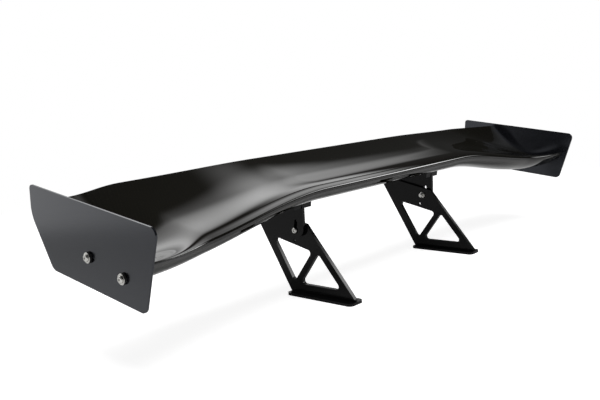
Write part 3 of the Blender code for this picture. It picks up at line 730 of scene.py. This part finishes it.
class WING_OT_brackets(bpy.types.Operator):
    """Brackets under the aerofoil, with their flanges, slots and screws"""
    bl_idname = "wing.brackets"
    bl_label = "Brackets"

    def execute(self, context):
        for hand, sign in HANDS.items():
            middle = sign * BRACKET
            flange, sinks = bmesh.new(), []
            loft(flange, [self.flange_section(middle + end * FLANGE_WIDTH / 2) for end in (-1, 1)])
            spots = [(middle + out, share) for out in (-SCREW_OUT, SCREW_OUT) for share in SCREW_SHARES]
            for number, (x, share) in enumerate(spots, 1):
                inward = -surface_normal(x, share, -1)
                seat = surface_point(x, share, -1, -FLANGE - SCREW_SEAT)
                screw = bmesh.new()
                socket_screw(screw, FLANGE_SCREW, FLANGE_SCREW_LENGTH, FLANGE_SCREW_HEAD, seat, inward)
                add_piece(f"flange_screw_{hand}_{number}", screw, "stainless_steel", "wing",
                          [f"bracket_screw_{hand}_{number}"])
                sinks.append(bmesh.new())
                turned(sinks[-1], self.sink_profile(), seat, inward)
            tongue = bmesh.new()
            loops = [tongue_outline(middle), slot_outline(), circle(*PIVOT, BOLT_HOLE)]
            plate(tongue, loops, in_yz(middle - TONGUE / 2), Vector((TONGUE, 0.0, 0.0)))
            body = combined(combined(flange, sinks, "DIFFERENCE"), [tongue], "UNION")
            add_piece("bracket_casting_" + hand, body, "anodised_black", "wing", ["bracket_" + hand],
                      edge=context.scene.wing_sizes.pedestal_edge)
        return {"FINISHED"}

    def flange_section(self, x):
        """Wedge under the aerofoil, deep at its front edge."""
        first, last = FLANGE_SHARES
        shares = spread(FLANGE_SHARES, FLANGE_STEPS)
        below = [surface_point(x, share, -1, -SEAT - FLANGE_FRONT + (FLANGE_FRONT - FLANGE)
                               * (share - first) / (last - first)) for share in shares]
        return below + [surface_point(x, share, -1, -SEAT) for share in reversed(shares)]

    def sink_profile(self):
        """Room for a screw and its head, from below the flange up through it."""
        head, hole = FLANGE_SCREW_SINK, FLANGE_SCREW_HOLE
        return [(0.0, -FLANGE_FRONT), (head, -FLANGE_FRONT), (head, SEAT), (hole, SEAT),
                (hole, FLANGE_SCREW_LENGTH), (0.0, FLANGE_SCREW_LENGTH)]


def upright_outlines():
    """Upright outline, its two windows and its holes, in Y and Z."""
    foot = BASE.z + FOOT_GAP
    half_foot = BASE.y / 2 - FOOT_INSET
    front_foot = Vector((BASE_Y - half_foot, foot))
    rear_foot = Vector((BASE_Y + half_foot, foot))
    front_top = LOCK + Vector(FRONT_TOP)
    rear_top = PIVOT + Vector(REAR_TOP)
    outline = rounded([(*front_foot, UPRIGHT_CORNER), (*front_top, UPRIGHT_CORNER),
                       (*rear_top, REAR_SHOULDER), (*rear_foot, UPRIGHT_CORNER)])
    front = offset_line(front_top, front_foot, FRONT_STRIP)
    top = offset_line(rear_top, front_top, TOP_BAND)
    rear = offset_line(rear_foot, rear_top, REAR_STRIP)
    bottom = offset_line(front_foot, rear_foot, FOOT_STRIP)
    strut_top = meet(front, top) + (top[0] - top[1]).normalized() * STRUT_TOP_SHIFT
    strut_foot = meet(rear, bottom) - Vector((STRUT_FOOT_SHIFT, 0.0))
    strut_rear = offset_line(strut_foot, strut_top, -STRUT / 2)
    strut_front = offset_line(strut_foot, strut_top, STRUT / 2)
    windows = [
        (meet(top, strut_rear), meet(top, rear), meet(rear, strut_rear)),
        (meet(front, strut_front), meet(strut_front, bottom), meet(front, bottom)),
    ]
    loops = [outline] + [rounded([(*corner, WINDOW_CORNER) for corner in window]) for window in windows]
    return loops + [circle(*point, BOLT_HOLE) for point in (PIVOT, LOCK, lock_point(LOCK_ANGLE + LOCK_PITCH))]


class WING_OT_pedestals(bpy.types.Operator):
    """Base plates and windowed uprights with chamfered edges, and the screws that join them"""
    bl_idname = "wing.pedestals"
    bl_label = "Pedestals"

    def execute(self, context):
        edge = context.scene.wing_sizes.pedestal_edge
        upward = Vector((0.0, 0.0, 1.0))
        for hand, sign in HANDS.items():
            middle = sign * PEDESTAL
            base = bmesh.new()
            plate(base, self.base_outlines(), lambda x, y: (middle + x, BASE_Y + y, 0.0), upward * BASE.z)
            sinks = []
            for step in FOOT_SCREW_STEPS.values():
                sinks.append(bmesh.new())
                turned(sinks[-1], FOOT_SINK, Vector((middle, BASE_Y + step, 0.0)), upward)
            base = combined(base, sinks, "DIFFERENCE")
            add_piece("foot_plate_" + hand, base, "anodised_black", "pedestals", ["base_plate_" + hand],
                      edge=edge)
            upright = bmesh.new()
            plate(upright, upright_outlines(), in_yz(middle - UPRIGHT / 2), Vector((UPRIGHT, 0.0, 0.0)))
            add_piece("windowed_upright_" + hand, upright, "anodised_black", "pedestals",
                      ["upright_" + hand], edge=edge)
            for place, step in FOOT_SCREW_STEPS.items():
                screw = bmesh.new()
                turned(screw, FOOT_SCREW, Vector((middle, BASE_Y + step, SEAT)), upward, flats=(FOOT_SOCKET,))
                add_piece(f"countersunk_screw_{hand}_{place}", screw, "stainless_steel", "pedestals",
                          [f"foot_screw_{hand}_{place}"])
        return {"FINISHED"}

    def base_outlines(self):
        """Base plate's outline and its mounting holes, about its middle."""
        half_width, half_length = BASE.x / 2, BASE.y / 2
        outline = rounded([(x * half_width, y * half_length, BASE_CORNER)
                           for x, y in ((-1, -1), (-1, 1), (1, 1), (1, -1))])
        out, along, radius = BASE_HOLES
        return [outline] + [circle(x * out, y * along, radius) for x in (-1, 1) for y in (-1, 1)]


class WING_OT_pivot_hardware(bpy.types.Operator):
    """Pivot and lock bolts with their washers and locking nuts"""
    bl_idname = "wing.pivot_hardware"
    bl_label = "Pivot and lock bolts"

    def execute(self, context):
        for hand, sign in HANDS.items():
            for job, point in (("pivot", PIVOT), ("lock", LOCK)):
                bolt, flat_washer, nut = (f"{job}_{kind}_{hand}" for kind in ("bolt", "washer", "nut"))
                for name, body, solid in (
                        ("screw", bolt_for(bolt, sign, point, PEDESTAL_BOLT), bolt),
                        ("flat_washer", washer_for(flat_washer, sign, point, BOLT_HOLE), flat_washer),
                        ("locking_nut", nut_for(nut, sign, point), nut)):
                    add_piece(f"{job}_{name}_{hand}", body, "stainless_steel", "pedestals", [solid])
        return {"FINISHED"}


class WING_OT_inner_parts(bpy.types.Operator):
    """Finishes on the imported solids; ribs, spars, inserts and nut plates have no finer piece"""
    bl_idname = "wing.inner_parts"
    bl_label = "Inner parts"

    def execute(self, context):
        slots = {part["node"]: part["material_slot"] for part in frame["record"]["subparts"]}
        for name, item in frame["nodes"].items():
            item.data.materials.clear()
            item.data.materials.append(finish_of(slots[name]))
        return {"FINISHED"}


def smooth(ends, start, end):
    """Settings of a smooth change from start to end between two values."""
    return {"interpolation_type": "SMOOTHSTEP", "From Min": ends[0], "From Max": ends[1], "To Min": start,
            "To Max": end}


class WING_OT_stage(bpy.types.Operator):
    """Pale floor, soft light, white surroundings and the camera"""
    bl_idname = "wing.stage"
    bl_label = "Stage"

    def execute(self, context):
        scene = context.scene
        scene.view_settings.view_transform = "Standard"
        self.add_floor(scene)
        self.add_surroundings(scene)
        self.add_lamps(scene)
        self.add_camera(scene)
        return {"FINISHED"}

    def add_floor(self, scene):
        """Wide pale disc that keeps the shadow and looks nearly white to the camera."""
        body = bmesh.new()
        bmesh.ops.create_circle(body, cap_ends=True, radius=FLOOR_RADIUS, segments=96)
        mesh = bpy.data.meshes.new("floor")
        body.to_mesh(mesh)
        body.free()
        floor = bpy.data.objects.new("floor", mesh)
        floor.location.z = -FLOOR_DROP
        scene.collection.objects.link(floor)
        material = bpy.data.materials.new("pale_paper_floor")
        material.use_nodes = True
        tree = material.node_tree
        paper = tree.nodes["Principled BSDF"]
        paper.inputs["Base Color"].default_value = (*linear("#e6e6e6"), 1.0)
        paper.inputs["Roughness"].default_value = 0.9
        paper.inputs["Specular IOR Level"].default_value = 0.1
        paper.inputs["Emission Color"].default_value = (1.0, 1.0, 1.0, 1.0)
        seen = node(tree, "ShaderNodeLightPath").outputs["Is Camera Ray"]
        glow = node(tree, "ShaderNodeMath", {"operation": "MULTIPLY", 1: FLOOR_GLOW}, i0=seen)
        tree.links.new(glow.outputs[0], paper.inputs["Emission Strength"])
        mesh.materials.append(material)

    def add_surroundings(self, scene):
        """Lit wall behind the wing, wider near the horizon; white to the camera and in low reflections."""
        world = bpy.data.worlds.new("studio")
        scene.world = world
        world.use_nodes = True
        tree = world.node_tree
        shader = tree.nodes["Background"]
        direction = node(tree, "ShaderNodeTexCoord").outputs["Generated"]
        along = node(tree, "ShaderNodeSeparateXYZ", Vector=direction).outputs
        height = node(tree, "ShaderNodeMath", {"operation": "ARCSINE"}, i0=along["Z"]).outputs[0]
        turn = node(tree, "ShaderNodeMath", {"operation": "ARCTAN2"}, i0=along["X"], i1=along["Y"]).outputs[0]
        quarters = node(tree, "ShaderNodeMath", {"operation": "DIVIDE", 1: math.pi / 2}, i0=height).outputs[0]
        rise = node(tree, "ShaderNodeValToRGB", Fac=quarters).outputs["Color"]
        self.set_ramp(rise.node.color_ramp, WALL_RISE)
        edge = node(tree, "ShaderNodeValToRGB", Fac=quarters).outputs["Color"]
        self.set_ramp(edge.node.color_ramp, WALL_RIGHT)
        across = node(tree, "ShaderNodeMath", {"operation": "DIVIDE", 1: math.pi / 2}, i0=turn).outputs[0]
        past = node(tree, "ShaderNodeMath", {"operation": "SUBTRACT"}, i0=across, i1=edge).outputs[0]
        right = node(tree, "ShaderNodeMapRange", smooth((-EDGE_HALF, EDGE_HALF), 1.0, 0.0), Value=past)
        left = node(tree, "ShaderNodeMapRange", smooth(WALL_LEFT, 0.0, 1.0), Value=turn)
        wall = node(tree, "ShaderNodeMath", {"operation": "MULTIPLY"}, i0=right.outputs["Result"],
                    i1=left.outputs["Result"]).outputs[0]
        room = node(tree, "ShaderNodeMath", {"operation": "MULTIPLY_ADD", 2: ROOM}, i0=rise,
                    i1=wall).outputs[0]
        rays = node(tree, "ShaderNodeLightPath").outputs
        seen = node(tree, "ShaderNodeMath", {"operation": "MAXIMUM"}, i0=rays["Is Camera Ray"],
                    i1=rays["Is Transmission Ray"]).outputs[0]
        below = node(tree, "ShaderNodeMapRange", smooth(BACKDROP_TOP, 1.0, 0.0), Value=height)
        low = node(tree, "ShaderNodeMath", {"operation": "MULTIPLY"}, i0=rays["Is Glossy Ray"],
                   i1=below.outputs["Result"]).outputs[0]
        seen = node(tree, "ShaderNodeMath", {"operation": "MAXIMUM"}, i0=seen, i1=low).outputs[0]
        white = node(tree, "ShaderNodeMix", {"data_type": "RGBA", 7: (1.0, 1.0, 1.0, 1.0)}, i0=seen, i6=room)
        tree.links.new(white.outputs[2], shader.inputs["Color"])
        shader.inputs["Strength"].default_value = scene.wing_studio.wall

    def set_ramp(self, ramp, stops):
        """Gives a colour ramp its (place, grey) stops."""
        while len(ramp.elements) < len(stops):
            ramp.elements.new(0.5)
        for element, (place, grey) in zip(ramp.elements, stops):
            element.position = place
            element.color = (grey, grey, grey, 1.0)

    def add_lamps(self, scene):
        """Overhead soft box for the light; low strip and cards for reflections alone."""
        for name, (power, sides, place, reflected) in LAMPS.items():
            lamp = bpy.data.lights.new(name, "AREA")
            lamp.shape = "RECTANGLE"
            lamp.size, lamp.size_y = sides
            lamp.energy = getattr(scene.wing_studio, power)
            if reflected:
                self.soften(lamp)
            item = bpy.data.objects.new(name, lamp)
            item.location = place
            item.visible_camera = False
            item.visible_glossy = reflected
            item.visible_diffuse = not reflected
            scene.collection.objects.link(item)

    def soften(self, lamp):
        """Lets a lamp's brightness fade out towards its edges."""
        lamp.use_nodes = True
        tree = lamp.node_tree
        place = node(tree, "ShaderNodeNewGeometry").outputs["Parametric"]
        shares = node(tree, "ShaderNodeSeparateXYZ", Vector=place).outputs
        sides = []
        for axis in "XY":
            inset = node(tree, "ShaderNodeMath", {"operation": "PINGPONG", 1: 0.5}, i0=shares[axis])
            side = node(tree, "ShaderNodeMapRange", smooth((0.0, SOFT_EDGE), 0.0, 1.0),
                        Value=inset.outputs[0])
            sides.append(side.outputs["Result"])
        light = node(tree, "ShaderNodeMath", {"operation": "MULTIPLY"}, i0=sides[0], i1=sides[1])
        tree.links.new(light.outputs[0], tree.nodes["Emission"].inputs["Strength"])

    def add_camera(self, scene):
        """Camera at the place and turn solved from points on the object."""
        lens = bpy.data.cameras.new("camera")
        lens.lens = scene.wing_studio.lens
        item = bpy.data.objects.new("camera", lens)
        slope, roll = CAMERA_SLOPE, CAMERA_ROLL
        ahead = Vector((math.sin(CAMERA_HEADING) * math.cos(slope),
                        math.cos(CAMERA_HEADING) * math.cos(slope), math.sin(slope)))
        level = ahead.cross(Vector((0.0, 0.0, 1.0))).normalized()
        above = level.cross(ahead)
        right = level * math.cos(roll) + above * math.sin(roll)
        up = above * math.cos(roll) - level * math.sin(roll)
        turn = Matrix((right, up, -ahead)).transposed().to_4x4()
        place = CAMERA_PLACE + Vector((0.0, BASE_Y, 0.0))
        item.matrix_world = Matrix.Translation(place) @ turn
        scene.collection.objects.link(item)
        scene.camera = item


OPERATORS = (WING_OT_inner_parts, WING_OT_skins, WING_OT_endplates, WING_OT_plate_fasteners,
             WING_OT_brackets, WING_OT_pedestals, WING_OT_pivot_hardware, WING_OT_stage)


class WING_PT_sidebar(bpy.types.Panel):
    """Sizes, colours and steps of the rear wing"""
    bl_label = "Rear Wing"
    bl_idname = "WING_PT_sidebar"
    bl_space_type = "VIEW_3D"
    bl_region_type = "UI"
    bl_category = "Rear Wing"

    def draw(self, context):
        for group in (context.scene.wing_sizes, context.scene.wing_colours, context.scene.wing_studio):
            for key in group.__annotations__:
                self.layout.prop(group, key)
        for operator in OPERATORS:
            self.layout.operator(operator.bl_idname)


GROUPS = {"wing_sizes": WingSizes, "wing_colours": WingColours, "wing_studio": WingStudio}


def register():
    """Registers the classes and hangs the settings on the scene."""
    for item in (*GROUPS.values(), *OPERATORS, WING_PT_sidebar):
        bpy.utils.register_class(item)
    for key, group in GROUPS.items():
        setattr(bpy.types.Scene, key, bpy.props.PointerProperty(type=group))


def unregister():
    """Removes the settings and the classes."""
    for key in GROUPS:
        delattr(bpy.types.Scene, key)
    for item in reversed((*GROUPS.values(), *OPERATORS, WING_PT_sidebar)):
        bpy.utils.unregister_class(item)


def main():
    """Makes every piece and the stage."""
    register()
    for operator in OPERATORS:
        group, name = operator.bl_idname.split(".")
        getattr(getattr(bpy.ops, group), name)()


if __name__ == "__main__":
    main()
